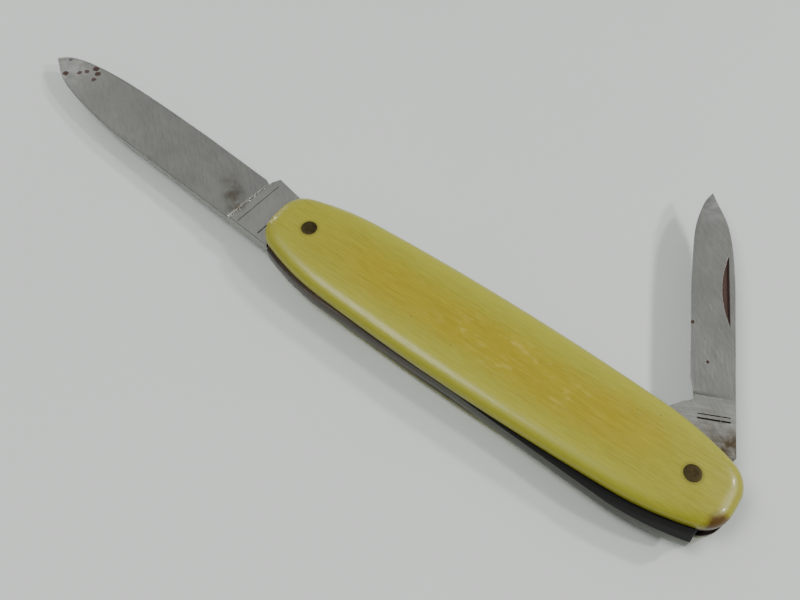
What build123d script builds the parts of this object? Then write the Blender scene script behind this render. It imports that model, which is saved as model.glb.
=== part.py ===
from build123d import *
from math import asin, atan2, cos, degrees, hypot, radians, sin, sqrt, tan
import os

# Two-blade folding pen knife. One back spring serves a long blade at the -X end and
# a short one at the +X end. The origin is the middle of the flat face that the back
# scale rests on, +X runs along the handle towards the short blade, the slot opens
# towards +Y, the spring's back faces -Y and the layers stack along +Z. Millimetres.

# ---- driving dimensions ----
# handle
closed_length = 76.0
handle_width = 16.0
side_radius = 420.0  # the four arcs of a quarter of the outline
haunch_radius = 43.0
shoulder_short = 3.7  # how far the shoulder arc's radius falls short of half the width
end_radius = 40.0
end_half_flat = 1.2
scale_thickness = 2.2
scale_edge_radius = 1.6
liner_thickness = 0.4
slot_width = 2.2
pivot_inset = 6.6  # from each handle end to the pivot's axis

# pins
pivot_radius = 1.0
pivot_head_lip = 0.18  # how far a pivot pin's head stands past its shank
pivot_head_depth = 0.55
spring_pin_radius = 0.8
spring_pin_head_radius = 1.15
spring_pin_head_depth = 0.2
fixed_clearance = 0.02  # pin shanks and heads in the handle
running_clearance = 0.04  # pivot pins in the blades
side_gap = 0.05  # each tang face to its liner
blade_gap = 0.08  # between the two folded blades

# tangs and spring
tang_reach = 3.5  # from the pivot to each flat that the spring bears on
tang_corner_radius = 0.4
ledge_offset = 4.1  # from the pivot to the ledge that meets the spring's end
spring_gap = 0.05  # spring to tang
spring_relief = 0.88  # how far the spring's middle lies back from its bearing ends
spring_main_proud = 0.5  # spring back beyond the outline at its -X end
spring_pen_proud = 0.5
spring_lift = 1.25  # how far the short blade's tang holds the +X end out
lift_power = 1.1

# long blade, along u from the pivot and v towards the cutting edge
main_open_tilt = 4.5  # open axis, towards +Y from the handle's axis
main_closed_tilt = 4.3
main_tip_v = -1.15
main_tip_corner = (1.5, 1.55)  # back from the tip and edgewards, where the belly turns in
main_tip_gap = 0.108  # that corner to the other tang's boss, folded
main_edge_v = 3.95
main_spine_v = -5.85
main_tang_spine_v = -5.35
main_heel_u = 13.85
main_notch_u = 12.2
main_notch_v = 3.25
main_kick_u = 11.4
main_kick_drop = 1.4  # how far the kick stands past the tang's flat
main_plunge_u = 12.0
main_heel_thickness = 1.65
main_tip_thickness = 0.5

# short blade
pen_rest_angle = 116.7  # of its axis from +X, part open
pen_closed_tilt = 1.5
pen_heel_gap = 15.0  # folded tip to the long blade's pivot, along X
pen_tip_v = -3.73
pen_edge_v = -0.55
pen_spine_v = -6.8
pen_shoulder_v = -6.35
pen_heel_u = 15.0
pen_notch_u = 12.4
pen_notch_v = -1.1
pen_bulge_u = 11.5
pen_kick_u = 9.2
pen_kick_drop = 0.55
pen_plunge_u = 12.4

# both blades
edge_land = 0.14
plunge_slope = 35.0
nick_width = 1.05
nick_length = 12.4
nick_depth = 0.3
nick_from_spine = 0.85
main_nick_u = 41.0
pen_nick_u = 29.9

# ---- places worked out from them ----
pivot_x = closed_length / 2 - pivot_inset
pivot_spacing = 2 * pivot_x
pivot_head_radius = pivot_radius + pivot_head_lip
shoulder_radius = handle_width / 2 - shoulder_short
liner_floor = scale_thickness
slot_floor = liner_floor + liner_thickness
slot_ceiling = slot_floor + slot_width
scale_floor = slot_ceiling + liner_thickness
handle_top = scale_floor + scale_thickness
tang_floor = slot_floor + side_gap
tang_ceiling = slot_ceiling - side_gap
tang_thickness = tang_ceiling - tang_floor

corner_reach = (tang_reach - tang_corner_radius) * 2**0.5 + tang_corner_radius
boss_radius = corner_reach + side_gap


def folded_tip_reach():
    """How far along the folded long blade its tip's corner comes to the other boss."""
    boss_u = pivot_spacing * cos(radians(main_closed_tilt))
    boss_v = pivot_spacing * sin(radians(main_closed_tilt))
    across = boss_v - main_tip_v - main_tip_corner[1]
    return boss_u - sqrt(max((boss_radius + main_tip_gap) ** 2 - across**2, 0))


main_length = folded_tip_reach() + main_tip_corner[0]
pen_length = pivot_spacing - pen_heel_gap
spring_main_end = -pivot_x - ledge_offset + spring_gap
spring_pen_end = pivot_x + ledge_offset - 2 * spring_gap


def quarter_arcs():
    """Centre, radius and end point of each arc of a quarter outline, from the +X end.

    Four arcs run tangent to each other from the end's middle to the side's middle.
    The haunch arc's centre is found from its distances to the two beside it.
    """
    end_centre = Vector(closed_length / 2 - end_radius, 0)
    end_way = Vector(1, 0).rotate(Axis.Z, degrees(asin(end_half_flat / end_radius)))
    end_stop = end_centre + end_way * end_radius
    shoulder_centre = end_stop - end_way * shoulder_radius
    side_centre = Vector(0, handle_width / 2 - side_radius)
    to_shoulder = shoulder_centre - side_centre
    side_reach = side_radius - haunch_radius
    shoulder_reach = haunch_radius - shoulder_radius
    along = (side_reach**2 - shoulder_reach**2 + to_shoulder.length**2) / (2 * to_shoulder.length)
    forward = to_shoulder.normalized()
    aside = forward.rotate(Axis.Z, 90) * sqrt(side_reach**2 - along**2)
    haunch_centre = side_centre + forward * along + aside
    shoulder_stop = shoulder_centre + (shoulder_centre - haunch_centre).normalized() * shoulder_radius
    haunch_stop = side_centre + (haunch_centre - side_centre).normalized() * side_radius
    return [
        (end_centre, end_radius, end_stop),
        (shoulder_centre, shoulder_radius, shoulder_stop),
        (haunch_centre, haunch_radius, haunch_stop),
        (side_centre, side_radius, Vector(0, handle_width / 2)),
    ]


quarter = quarter_arcs()


def half_width(x):
    """Half the handle's width at a distance x from its middle."""
    for centre, radius, stop in quarter:
        if abs(x) >= stop.X:
            return centre.Y + sqrt(radius**2 - (abs(x) - centre.X) ** 2)


def handle_outline():
    """The handle's outline as a face on XY."""
    with BuildSketch() as outline:
        with BuildLine():
            start = Vector(closed_length / 2, 0)
            for centre, radius, stop in quarter:
                middle = ((start - centre) + (stop - centre)).normalized()
                ThreePointArc(start, centre + middle * radius, stop)
                start = stop
            mirror(about=Plane.YZ)
            mirror(about=Plane.XZ)
        make_face()
    return outline.sketch


def kick_flat_angle(kick_u, kick_v):
    """Slope of the flat from the kick that passes tang_reach from the pivot."""
    return atan2(kick_v, kick_u) - asin(tang_reach / hypot(kick_u, kick_v))


main_kick_v = tang_reach + main_kick_drop
pen_kick_v = tang_reach + pen_kick_drop
main_flat_angle = kick_flat_angle(main_kick_u, main_kick_v)
pen_flat_angle = kick_flat_angle(pen_kick_u, pen_kick_v)
main_spring_slope = main_flat_angle - radians(main_closed_tilt)
pen_spring_slope = pen_flat_angle - radians(pen_closed_tilt)

# ---- scales ----
pivot_spots = [(-pivot_x, 0), (pivot_x, 0)]
spring_middle_face = tang_reach + spring_relief
spring_pin_y = -(half_width(0) + spring_middle_face) / 2
edge_radius = min(scale_edge_radius, scale_thickness - 0.3)
pocket_radius = spring_pin_head_radius + 2 * fixed_clearance
pocket_depth = spring_pin_head_depth + fixed_clearance

with BuildPart() as back_scale:
    with BuildSketch():
        add(handle_outline())
    extrude(amount=scale_thickness)
    fillet(back_scale.edges().group_by(Axis.Z)[0], radius=edge_radius)
    with BuildSketch():
        with Locations(pivot_spots):
            Circle(pivot_radius + fixed_clearance)
    extrude(amount=scale_thickness, mode=Mode.SUBTRACT)
    with BuildSketch():
        with Locations(pivot_spots):
            Circle(pivot_head_radius + fixed_clearance)
    extrude(amount=pivot_head_depth, mode=Mode.SUBTRACT)
    with BuildSketch(Plane.XY.offset(scale_thickness)):
        with Locations((0, spring_pin_y)):
            Circle(pocket_radius)
    extrude(amount=-pocket_depth, mode=Mode.SUBTRACT)
back_scale.part.label = "back_scale"

with BuildPart() as front_scale:
    mirror(back_scale.part, about=Plane.XY.offset(handle_top / 2))
front_scale.part.label = "front_scale"


# ---- liners ----
def liner_face():
    """A liner's outline with its three pin holes."""
    with BuildSketch() as face:
        add(handle_outline())
        with Locations(pivot_spots):
            Circle(pivot_radius + fixed_clearance, mode=Mode.SUBTRACT)
        with Locations((0, spring_pin_y)):
            Circle(spring_pin_radius + fixed_clearance, mode=Mode.SUBTRACT)
    return face.sketch


with BuildPart() as back_liner:
    with BuildSketch(Plane.XY.offset(liner_floor)):
        add(liner_face())
    extrude(amount=liner_thickness)
back_liner.part.label = "back_liner"

with BuildPart() as front_liner:
    with BuildSketch(Plane.XY.offset(slot_ceiling)):
        add(liner_face())
    extrude(amount=liner_thickness)
front_liner.part.label = "front_liner"


# ---- back spring, riveted at its middle, its +X end held out by the part-open tang ----
def lift(x):
    """How far the bent spring stands out from where it lies at rest."""
    return spring_lift * (max(x, 0) / pivot_x) ** lift_power


def spring_back(x):
    """Y of the spring's outer side."""
    proud = spring_main_proud if x < 0 else spring_pen_proud
    return -half_width(x) - proud * min(abs(x) / (pivot_x - pivot_inset), 1) ** 2 - lift(x)


def spring_face(x):
    """Y of the spring's inner side: a bearing flat at each end and a level middle."""
    slope = main_spring_slope if x < 0 else pen_spring_slope
    flat = (tang_reach + spring_gap) / cos(slope) + (pivot_x - abs(x)) * tan(slope)
    return -min(flat, spring_middle_face) - lift(x)


spring_stations = [spring_main_end + (spring_pen_end - spring_main_end) * i / 18 for i in range(19)]
back_points = [(x, spring_back(x)) for x in spring_stations]
face_points = [(x, spring_face(x)) for x in reversed(spring_stations)]

with BuildPart() as back_spring:
    with BuildSketch(Plane.XY.offset(slot_floor)):
        with BuildLine():
            Spline(*back_points)
            Line(back_points[-1], face_points[0])
            Spline(*face_points)
            Line(face_points[-1], back_points[0])
        make_face()
        with Locations((0, spring_pin_y)):
            Circle(spring_pin_radius + fixed_clearance, mode=Mode.SUBTRACT)
    extrude(amount=slot_width)
back_spring.part.label = "back_spring"


# ---- blades ----
def blade_plane(pivot, angle, height):
    """A plane at a pivot whose X runs along the blade's axis u."""
    along = (cos(radians(angle)), sin(radians(angle)), 0)
    return Plane(origin=(pivot, 0, height), x_dir=along, z_dir=(0, 0, 1))


def section_plane(blade, u):
    """A plane across a blade at a distance u from the pivot, X across and Y up."""
    return Plane(origin=blade.from_local_coords((u, 0, 0)), x_dir=blade.y_dir, z_dir=blade.x_dir)


def tang_back(flat_angle, open_slope, ledge_v):
    """Corners of a tang from the closed flat, round the pivot, to the ledge."""
    closed_v = tang_reach / cos(flat_angle) - tang_reach * tan(flat_angle)
    open_v = tang_reach / cos(open_slope)
    rear = (-tang_reach, closed_v)
    low = (-tang_reach, -open_v + tang_reach * tan(open_slope))
    inner = (ledge_offset, -open_v - ledge_offset * tan(open_slope))
    return [rear, low, inner, (ledge_offset, ledge_v)]


def facing(points, side):
    """Blade points (u, v) in a plane whose Y is side times v."""
    return [(u, side * v) for u, v in points]


def nick_face(centre_u, spine_v, side):
    """A nail nick's crescent beside the spine, straight towards the spine."""
    low = centre_u - nick_length / 2
    high = centre_u + nick_length / 2
    straight_v = spine_v + nick_from_spine
    ends = facing([(low, straight_v), (centre_u, straight_v + nick_width), (high, straight_v)], side)
    with BuildSketch() as face:
        with BuildLine():
            ThreePointArc(*ends)
            Line(ends[2], ends[0])
        make_face()
    return face.sketch


# long blade, open, lying in the lower half of the slot when folded
main_side = -1
main_plane = blade_plane(-pivot_x, 180 - main_open_tilt, tang_floor)
main_open_slope = radians(main_open_tilt) - main_spring_slope
main_slope = (main_heel_thickness - main_tip_thickness) / (main_length - main_plunge_u)


def main_thickness(u):
    """Spine thickness of the long blade at u."""
    return main_heel_thickness - main_slope * (u - main_plunge_u)


main_tang = facing(
    [(main_heel_u, main_edge_v), (main_notch_u, main_notch_v), (main_kick_u, main_kick_v)]
    + tang_back(main_flat_angle, main_open_slope, main_tang_spine_v),
    main_side,
)
main_belly = facing(
    [
        (main_length, main_tip_v),
        (main_length - main_tip_corner[0], main_tip_v + main_tip_corner[1]),
        (main_length - 3.4, main_tip_v + 2.45),
        (main_length - 7.6, main_tip_v + 3.5),
        (main_length - 12.3, main_edge_v - 0.95),
        (main_length - 20.0, main_edge_v - 0.42),
        (main_length - 34.0, main_edge_v),
    ],
    main_side,
)
main_spine = facing(
    [
        (main_length - 22.0, main_spine_v),
        (main_length - 8.5, main_spine_v + 1.35),
        (main_length - 4.0, main_spine_v + 2.6),
        (main_length - 1.6, main_tip_v - 0.85),
        (main_length, main_tip_v),
    ],
    main_side,
)

with BuildPart() as main_grind:
    for u in (main_plunge_u - 2, main_length + 1):
        with BuildSketch(section_plane(main_plane, u)):
            thick = main_thickness(u)
            wedge = [
                (main_spine_v - 0.1, 0),
                (main_spine_v - 0.1, thick),
                (main_edge_v + 0.1, (thick + edge_land) / 2),
                (main_edge_v + 0.1, (thick - edge_land) / 2),
            ]
            with BuildLine():
                Polyline(*[(main_side * v, z) for v, z in wedge], close=True)
            make_face()
    loft(ruled=True)
    with BuildSketch(main_plane):
        reach = main_plunge_u + tang_thickness * tan(radians(plunge_slope))
        Rectangle(2 * reach, 3 * main_kick_v)
    extrude(amount=tang_thickness, taper=plunge_slope)

with BuildPart() as main_blade:
    with BuildSketch(main_plane) as main_profile:
        with BuildLine():
            Spline(*main_belly)
            Polyline(main_belly[-1], *main_tang)
            Line(main_tang[-1], main_spine[0])
            Spline(*main_spine)
        make_face()
        rear_corners = main_profile.vertices().sort_by_distance((-tang_reach, 0))[:2]
        fillet(rear_corners, radius=tang_corner_radius)
        Circle(pivot_radius + running_clearance, mode=Mode.SUBTRACT)
    extrude(amount=tang_thickness)
    add(main_grind.part, mode=Mode.INTERSECT)
    with BuildSketch(main_plane):
        add(nick_face(main_nick_u, main_spine_v, main_side))
    extrude(amount=nick_depth, taper=20, mode=Mode.SUBTRACT)
main_blade.part.label = "main_blade"

# short blade, part open, lying in the upper half of the slot when folded
pen_side = 1
pen_plane = blade_plane(pivot_x, pen_rest_angle, tang_floor)


def pen_underside(u):
    """Height above the tang's floor of the short blade's lower face at u."""
    folded_u = pivot_spacing - u  # the long blade's own u at that place
    return main_thickness(folded_u) + blade_gap


pen_tang = facing(
    [
        (pen_heel_u, pen_edge_v),
        (pen_notch_u, pen_notch_v),
        (pen_bulge_u, pen_edge_v),
        (pen_bulge_u - 0.3, pen_edge_v + 1.0),
        (pen_kick_u, pen_kick_v),
    ]
    + tang_back(pen_flat_angle, 0, pen_shoulder_v),
    pen_side,
)
pen_belly = facing(
    [
        (pen_length, pen_tip_v),
        (pen_length - 1.5, pen_tip_v + 1.0),
        (pen_length - 3.7, pen_tip_v + 1.85),
        (pen_length - 6.3, pen_tip_v + 2.5),
        (pen_length - 12.0, pen_edge_v - 0.2),
        (pen_length - 17.0, pen_edge_v),
    ],
    pen_side,
)
pen_spine = facing(
    [
        (pen_length - 17.0, pen_spine_v),
        (pen_length - 9.2, pen_spine_v + 0.35),
        (pen_length - 5.0, pen_spine_v + 1.15),
        (pen_length - 1.7, pen_tip_v - 0.6),
        (pen_length, pen_tip_v),
    ],
    pen_side,
)

with BuildPart() as pen_grind:
    for u in (pen_plunge_u - 2, pen_length + 1):
        with BuildSketch(section_plane(pen_plane, u)):
            low = pen_underside(u)
            middle = (low + tang_thickness) / 2
            wedge = [
                (pen_spine_v - 0.1, low),
                (pen_spine_v - 0.1, tang_thickness),
                (pen_edge_v + 0.1, middle + edge_land / 2),
                (pen_edge_v + 0.1, middle - edge_land / 2),
            ]
            with BuildLine():
                Polyline(*[(pen_side * v, z) for v, z in wedge], close=True)
            make_face()
    loft(ruled=True)
    ricasso_floor = pen_underside(pen_plunge_u)
    ricasso_height = tang_thickness - ricasso_floor
    with BuildSketch(pen_plane.offset(ricasso_floor)):
        reach = pen_plunge_u + ricasso_height * tan(radians(plunge_slope))
        Rectangle(2 * reach, 4 * pen_kick_v)
    extrude(amount=ricasso_height, taper=plunge_slope)
    with BuildSketch(pen_plane):
        Circle(boss_radius)
    extrude(amount=tang_thickness)

with BuildPart() as pen_blade:
    with BuildSketch(pen_plane) as pen_profile:
        with BuildLine():
            Spline(*pen_belly)
            Polyline(pen_belly[-1], *pen_tang)
            Line(pen_tang[-1], pen_spine[0])
            Spline(*pen_spine)
        make_face()
        rear_corners = pen_profile.vertices().sort_by_distance((-tang_reach, 0))[:2]
        fillet(rear_corners, radius=tang_corner_radius)
        Circle(pivot_radius + running_clearance, mode=Mode.SUBTRACT)
    extrude(amount=tang_thickness)
    add(pen_grind.part, mode=Mode.INTERSECT)
    with BuildSketch(pen_plane.offset(tang_thickness)):
        add(nick_face(pen_nick_u, pen_spine_v, pen_side))
    extrude(amount=-nick_depth, taper=20, mode=Mode.SUBTRACT)
pen_blade.part.label = "pen_blade"


# ---- pins ----
def rivet_face(base, shank, head, length, head_depth):
    """Half section of a rivet that stands on base, with a head at each end."""
    with BuildSketch(base) as half:
        with BuildLine():
            Polyline(
                (0, 0),
                (head, 0),
                (head, head_depth),
                (shank, head_depth),
                (shank, length - head_depth),
                (head, length - head_depth),
                (head, length),
                (0, length),
                close=True,
            )
        make_face()
    return half.sketch


def rivet_plane(x, y, z):
    """The upright plane through a rivet's axis, with its origin at the rivet's foot."""
    return Plane(origin=(x, y, z), x_dir=(1, 0, 0), z_dir=(0, -1, 0))


with BuildPart() as main_pivot_pin:
    pin_plane = rivet_plane(-pivot_x, 0, 0)
    add(rivet_face(pin_plane, pivot_radius, pivot_head_radius, handle_top, pivot_head_depth))
    revolve(axis=Axis(pin_plane.origin, (0, 0, 1)))
main_pivot_pin.part.label = "main_pivot_pin"

with BuildPart() as pen_pivot_pin:
    pin_plane = rivet_plane(pivot_x, 0, 0)
    add(rivet_face(pin_plane, pivot_radius, pivot_head_radius, handle_top, pivot_head_depth))
    revolve(axis=Axis(pin_plane.origin, (0, 0, 1)))
pen_pivot_pin.part.label = "pen_pivot_pin"

with BuildPart() as spring_pin:
    pin_foot = liner_floor - spring_pin_head_depth
    pin_length = scale_floor + spring_pin_head_depth - pin_foot
    pin_plane = rivet_plane(0, spring_pin_y, pin_foot)
    head_size = (spring_pin_radius, spring_pin_head_radius, pin_length, spring_pin_head_depth)
    add(rivet_face(pin_plane, *head_size))
    revolve(axis=Axis(pin_plane.origin, (0, 0, 1)))
spring_pin.part.label = "spring_pin"

# ---- one file for each piece ----
os.makedirs("parts", exist_ok=True)
pieces = [
    back_scale,
    front_scale,
    back_liner,
    front_liner,
    back_spring,
    main_blade,
    pen_blade,
    main_pivot_pin,
    pen_pivot_pin,
    spring_pin,
]
for piece in pieces:
    export_step(piece.part, f"parts/{piece.part.label}.step")
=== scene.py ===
from math import asin, atan2, ceil, cos, pi, radians, sin, sqrt, tan

import bmesh
import bpy
import numpy as np
from mathutils import Matrix, Vector


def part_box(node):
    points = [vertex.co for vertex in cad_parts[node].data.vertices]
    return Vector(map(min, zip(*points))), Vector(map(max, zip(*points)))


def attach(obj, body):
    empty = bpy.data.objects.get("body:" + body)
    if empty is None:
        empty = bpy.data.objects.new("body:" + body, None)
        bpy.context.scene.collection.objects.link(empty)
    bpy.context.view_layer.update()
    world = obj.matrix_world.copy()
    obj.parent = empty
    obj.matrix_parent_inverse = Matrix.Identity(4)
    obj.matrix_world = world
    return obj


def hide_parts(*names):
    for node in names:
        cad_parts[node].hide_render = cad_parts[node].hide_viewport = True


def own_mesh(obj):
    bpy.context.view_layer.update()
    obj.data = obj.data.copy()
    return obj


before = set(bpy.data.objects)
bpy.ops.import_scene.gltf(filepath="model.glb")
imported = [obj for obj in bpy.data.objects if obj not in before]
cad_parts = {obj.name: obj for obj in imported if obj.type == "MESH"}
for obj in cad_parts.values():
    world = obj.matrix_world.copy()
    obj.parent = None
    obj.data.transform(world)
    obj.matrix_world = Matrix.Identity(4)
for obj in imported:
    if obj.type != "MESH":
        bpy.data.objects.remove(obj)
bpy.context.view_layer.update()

# A two-blade pen knife lying on its back scale, the long blade open towards -X and the
# short one part open towards +Y. Lengths below are millimetres until metres() turns
# them into Blender's units.
MM = 0.001


def metres(point):
    """A point in millimetres as a point in metres."""
    return tuple(MM * value for value in point)


def node_box(name):
    """Lowest and highest corner of a CAD node in millimetres."""
    low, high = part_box(name)
    return low / MM, high / MM


# ---- camera ----
VIEW_AZIMUTH = radians(-53.1)
VIEW_ELEVATION = radians(59.3)
VIEW_DISTANCE = 128.2
VIEW_TARGET = Vector((-15.8, 1.65, 0))
VIEW_LENS = 38.26


def place_camera():
    """The camera looks down on the knife from its spring side."""
    back = Vector((
        cos(VIEW_AZIMUTH) * cos(VIEW_ELEVATION),
        sin(VIEW_AZIMUTH) * cos(VIEW_ELEVATION),
        sin(VIEW_ELEVATION),
    ))
    right = Vector((-sin(VIEW_AZIMUTH), cos(VIEW_AZIMUTH), 0))
    turn = Matrix((right, back.cross(right), back)).transposed()
    data = bpy.data.cameras.new("camera")
    data.lens = VIEW_LENS
    data.sensor_width = 36
    data.clip_start = 0.005
    camera = bpy.data.objects.new("camera", data)
    place = Matrix.Translation(metres(VIEW_TARGET + back * VIEW_DISTANCE))
    camera.matrix_world = place @ turn.to_4x4()
    bpy.context.scene.collection.objects.link(camera)
    bpy.context.scene.camera = camera


place_camera()

# ---- sizes, as in the CAD ----
scale_low, scale_high = node_box("back_scale")
liner_low, liner_high = node_box("back_liner")
front_low = node_box("front_scale")[0]
spring_low, spring_high = node_box("back_spring")
main_pin_low, main_pin_high = node_box("main_pivot_pin")
pen_pin_low, pen_pin_high = node_box("pen_pivot_pin")
spring_pin_low, spring_pin_high = node_box("spring_pin")
HALF_LENGTH = scale_high.x
HALF_WIDTH = scale_high.y
SCALE_THICKNESS = scale_high.z - scale_low.z
SIDE_RADIUS = 420.0
HAUNCH_RADIUS = 43.0
SHOULDER_RADIUS = 4.3
END_RADIUS = 40.0
END_HALF_FLAT = 1.2
MAIN_PIVOT = (main_pin_low + main_pin_high) / 2
PEN_PIVOT = (pen_pin_low + pen_pin_high) / 2
SPRING_PIN = (spring_pin_low + spring_pin_high) / 2
PIN_LENGTH = pen_pin_high.z - pen_pin_low.z
PIN_HEAD_RADIUS = (pen_pin_high.x - pen_pin_low.x) / 2
PIN_CLEARANCE = 0.02
SHANK_RADIUS = 1.0
SPRING_MIDDLE = (spring_low.z + spring_high.z) / 2
SPRING_HALF = (spring_high.z - spring_low.z) / 2
LINER_HALF = (liner_high.z - liner_low.z) / 2
NICK_LENGTH = 12.4
NICK_WIDTH = 1.05
NICK_FROM_SPINE = 0.85


# ---- shader building ----
class Link:
    """A socket in an expression. Each operator adds a Math node."""

    def __init__(self, net, socket):
        self.net = net
        self.socket = socket

    def math(self, operation, first, second=0.0):
        """A Math node on two values or links."""
        return self.net.add("ShaderNodeMath", {"operation": operation}, {0: first, 1: second})

    def __add__(self, other):
        return self.math("ADD", self, other)

    def __radd__(self, other):
        return self.math("ADD", other, self)

    def __sub__(self, other):
        return self.math("SUBTRACT", self, other)

    def __rsub__(self, other):
        return self.math("SUBTRACT", other, self)

    def __mul__(self, other):
        return self.math("MULTIPLY", self, other)

    def __rmul__(self, other):
        return self.math("MULTIPLY", other, self)

    def __truediv__(self, other):
        return self.math("DIVIDE", self, other)

    def absolute(self):
        """The value without its sign."""
        return self.math("ABSOLUTE", self)


class Net:
    """One material's nodes around its Principled shader."""

    def __init__(self, name, **constants):
        self.material = bpy.data.materials.new(name)
        self.material.use_nodes = True
        self.tree = self.material.node_tree
        self.shader = self.tree.nodes["Principled BSDF"]
        for socket, value in constants.items():
            self.shader.inputs[socket.replace("_", " ")].default_value = value

    def add(self, kind, settings=None, inputs=None, output=0):
        """A node of any kind: its settings first, then values or links for its sockets."""
        node = self.tree.nodes.new(kind)
        for name, value in (settings or {}).items():
            setattr(node, name, value)
        for key, value in (inputs or {}).items():
            self.feed(node.inputs[key], value)
        return Link(self, node.outputs[output])

    def feed(self, socket, value):
        """Links a Link to a socket, or sets its value."""
        if isinstance(value, Link):
            self.tree.links.new(value.socket, socket)
        else:
            socket.default_value = value

    def set(self, **values):
        """Feeds the shader's own sockets."""
        for name, value in values.items():
            self.feed(self.shader.inputs[name.replace("_", " ")], value)

    # -- coordinates, in millimetres --
    def place(self, origin=(0, 0, 0), turn=0.0, stretch=(1, 1, 1)):
        """Object coordinates about an origin, turned about Z, then stretched."""
        point = self.add("ShaderNodeTexCoord", output="Object")
        millimetres = self.add(
            "ShaderNodeVectorMath", {"operation": "SCALE"}, {0: point, "Scale": 1 / MM}
        )
        moved = self.add(
            "ShaderNodeVectorMath", {"operation": "SUBTRACT"}, {0: millimetres, 1: tuple(origin)}
        )
        if turn:
            moved = self.add(
                "ShaderNodeVectorRotate",
                {"rotation_type": "Z_AXIS"},
                {"Vector": moved, "Angle": -turn},
            )
        return self.add(
            "ShaderNodeVectorMath", {"operation": "MULTIPLY"}, {0: moved, 1: stretch}
        )

    def axis(self, point, name):
        """One component of a vector."""
        return self.add("ShaderNodeSeparateXYZ", None, {0: point}, output=name)

    # -- patterns, each from 0 to 1 --
    def noise(self, point, scale, detail=3.0, roughness=0.55):
        """Soft noise with so many cycles in a millimetre."""
        return self.add(
            "ShaderNodeTexNoise",
            None,
            {"Vector": point, "Scale": scale, "Detail": detail, "Roughness": roughness},
        )

    def ease(self, value, low, high):
        """0 below low, 1 above high, smooth between; low may be the larger."""
        return self.add(
            "ShaderNodeMapRange",
            {"interpolation_type": "SMOOTHSTEP", "clamp": True},
            {"Value": value, "From Min": low, "From Max": high, "To Min": 0.0, "To Max": 1.0},
        )

    def spot(self, point, centre, inner, outer):
        """1 within inner of a centre, 0 beyond outer."""
        distance = self.add(
            "ShaderNodeVectorMath", {"operation": "DISTANCE"}, {0: point, 1: centre}, output="Value"
        )
        return self.ease(distance, outer, inner)

    def band(self, value, low, high, soft):
        """1 between low and high, with soft borders."""
        return self.ease(value, low - soft, low) * self.ease(value, high + soft, high)

    def nick_mask(self, blade, here):
        """1 inside a blade's nail nick, a crescent, on the face that it is cut in."""
        along = (self.axis(here, "X") - blade.nick_u) / (NICK_LENGTH / 2)
        rise = self.axis(here, "Y") - (blade.spine_v + NICK_FROM_SPINE)
        height = self.axis(self.place(), "Z")
        arc = NICK_WIDTH * (1 - along * along) - rise
        inside = self.ease(rise, -0.03, 0.02) * self.ease(arc, -0.05, 0.02)
        return inside * self.ease(height, *blade.nick_side)

    def cells(self, point, scale):
        """Distance to the nearest point of a scatter."""
        return self.add("ShaderNodeTexVoronoi", None, {"Vector": point, "Scale": scale})

    def tint(self, mask, first, second):
        """Colour first where the mask is 0, second where it is 1."""
        return self.add(
            "ShaderNodeMix",
            {"data_type": "RGBA"},
            {0: mask, 6: first, 7: second},
            output=2,
        )

    def bump(self, height, distance, strength, under=None):
        """A normal from a height of 0 to 1 over a distance in millimetres."""
        inputs = {"Height": height, "Distance": distance * MM, "Strength": strength}
        if under is not None:
            inputs["Normal"] = under
        return self.add("ShaderNodeBump", None, inputs)


def colour(red, green, blue):
    """An 8-bit display colour as a linear shader colour."""
    def linear(value):
        share = value / 255
        return share / 12.92 if share <= 0.04045 else ((share + 0.055) / 1.055) ** 2.4

    return (linear(red), linear(green), linear(blue), 1.0)


# ---- materials: colours as display values, places and distances in millimetres ----
GRAIN_STRETCH = (0.035, 1, 0.6)
WEAR_SLANT = 0.55


def grained_ivory(net, here, fine):
    """Yellow celluloid: amber along the middle, with lengthwise grain."""
    clouds = net.noise(here, 0.09, 2.0)
    across = net.axis(here, "Y").absolute()
    length = net.axis(here, "X").absolute()
    middle = net.ease(across, 6.2, 1.0) * net.ease(length, 34.0, 15.0)
    amber = net.ease(middle * 0.6 + clouds * 0.7, 0.3, 1.1)
    base = net.tint(amber, colour(145, 143, 36), colour(149, 133, 6))
    lines = net.noise(net.place(stretch=GRAIN_STRETCH), 5.5, 2.0, 0.5)
    base = net.tint(net.ease(lines, 0.4, 0.68) * 0.42, base, colour(124, 110, 10))
    return net.tint(net.ease(fine, 0.5, 0.75) * 0.34, base, colour(188, 178, 66))


def green_rims(net, here, base):
    """Greener towards the rims, with painted shade, dark olive, round the edge of the lower scale by its
    liner.
    """
    rim = net.ease(net.axis(here, "Y").absolute(), 3.2, 7.0)
    base = net.tint(rim * 0.6, base, colour(158, 158, 50))
    # Painted shade: the lower scale's side just under its liner is darkened to olive, where shade falls.
    shaded = net.band(net.axis(here, "Z"), 1.75, 2.3, 0.6)
    return net.tint(shaded * 0.75, base, colour(56, 60, 26))


def pocket_dirt(net, here, base):
    """Small dark specks, a darker ring round each pin and a brown burn at the pen end's lower rim."""
    specks = net.ease(net.cells(here, 0.42), 0.085, 0.03)
    rare = net.ease(net.noise(here, 0.5, 1.0), 0.54, 0.6)
    base = net.tint(specks * rare * 0.65, base, colour(92, 84, 34))
    flat = net.place(stretch=(1, 1, 0))
    for pivot in (MAIN_PIVOT, PEN_PIVOT):
        near = net.spot(flat, (pivot.x, pivot.y, 0), PIN_HEAD_RADIUS + PIN_CLEARANCE, 1.75)
        base = net.tint(near * 0.55, base, colour(96, 86, 30))
    ragged = net.noise(here, 1.6, 3.0) * 1.1
    burn = net.spot(here, (36.9, -3.4, 5.6), 0.6, 2.9) * (0.45 + ragged)
    return net.tint(net.ease(burn, 0.15, 0.85), base, colour(84, 58, 6))


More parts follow.
